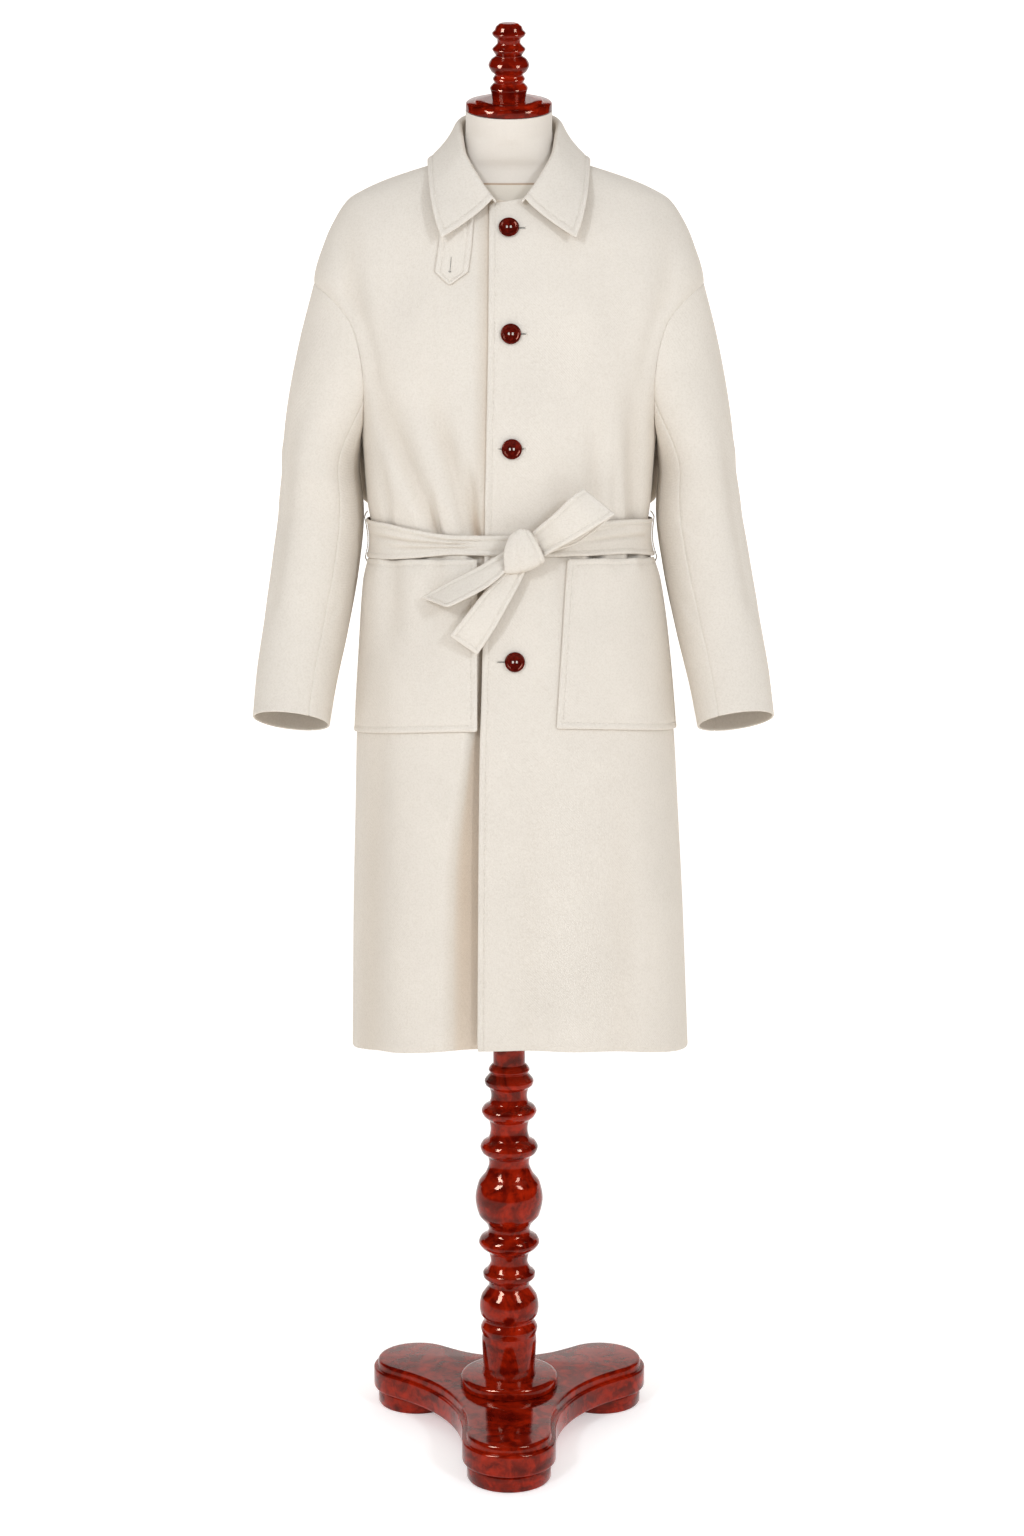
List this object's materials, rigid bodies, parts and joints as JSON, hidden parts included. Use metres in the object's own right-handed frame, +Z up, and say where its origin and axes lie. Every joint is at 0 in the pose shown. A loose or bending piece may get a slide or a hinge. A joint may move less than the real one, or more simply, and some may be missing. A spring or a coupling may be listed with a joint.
{
  "type": "belted wool coat on a dress form stand",
  "caption": "Belted wool coat with turned-down collar, throat tab, patch pockets and a tied belt, worn by a limbless dress form on a turned lacquered tripod stand.",
  "frame": {"origin": "on the floor under the middle of the object's box", "axes": "+Z up, the coat faces -Y, the wearer's left is +X"},
  "size_m": [0.6344, 0.3605, 1.7651],
  "materials": {
    "wool": "matte cream wool with a fine felted face",
    "thread": "matte cream thread",
    "button": "polished dark maroon",
    "form_cover": "smooth stretched cream cover",
    "lacquer": "glossy red-brown lacquer with a burl figure"
  },
  "bodies": {
    "root": {"front_left": "wool", "front_right": "wool", "back": "wool", "sleeve_left_top": "wool", "sleeve_left_under": "wool", "sleeve_right_top": "wool", "sleeve_right_under": "wool", "collar": "wool", "throat_tab": "wool", "pocket_left": "wool", "pocket_right": "wool", "belt_band": "wool", "belt_knot": "wool", "belt_bow_front": "wool", "belt_bow_back": "wool", "belt_tail_upper": "wool", "belt_tail_lower": "wool", "belt_carrier_left": "thread", "belt_carrier_right": "thread", "button_1": "button", "button_2": "button", "button_3": "button", "button_4": "button", "dress_form": "form_cover", "neck_cap": "lacquer", "finial": "lacquer", "stand_post": "lacquer", "stand_plinth": "lacquer", "stand_base": "lacquer", "stand_foot_1": "lacquer", "stand_foot_2": "lacquer", "stand_foot_3": "lacquer"}
  },
  "joints": []
}
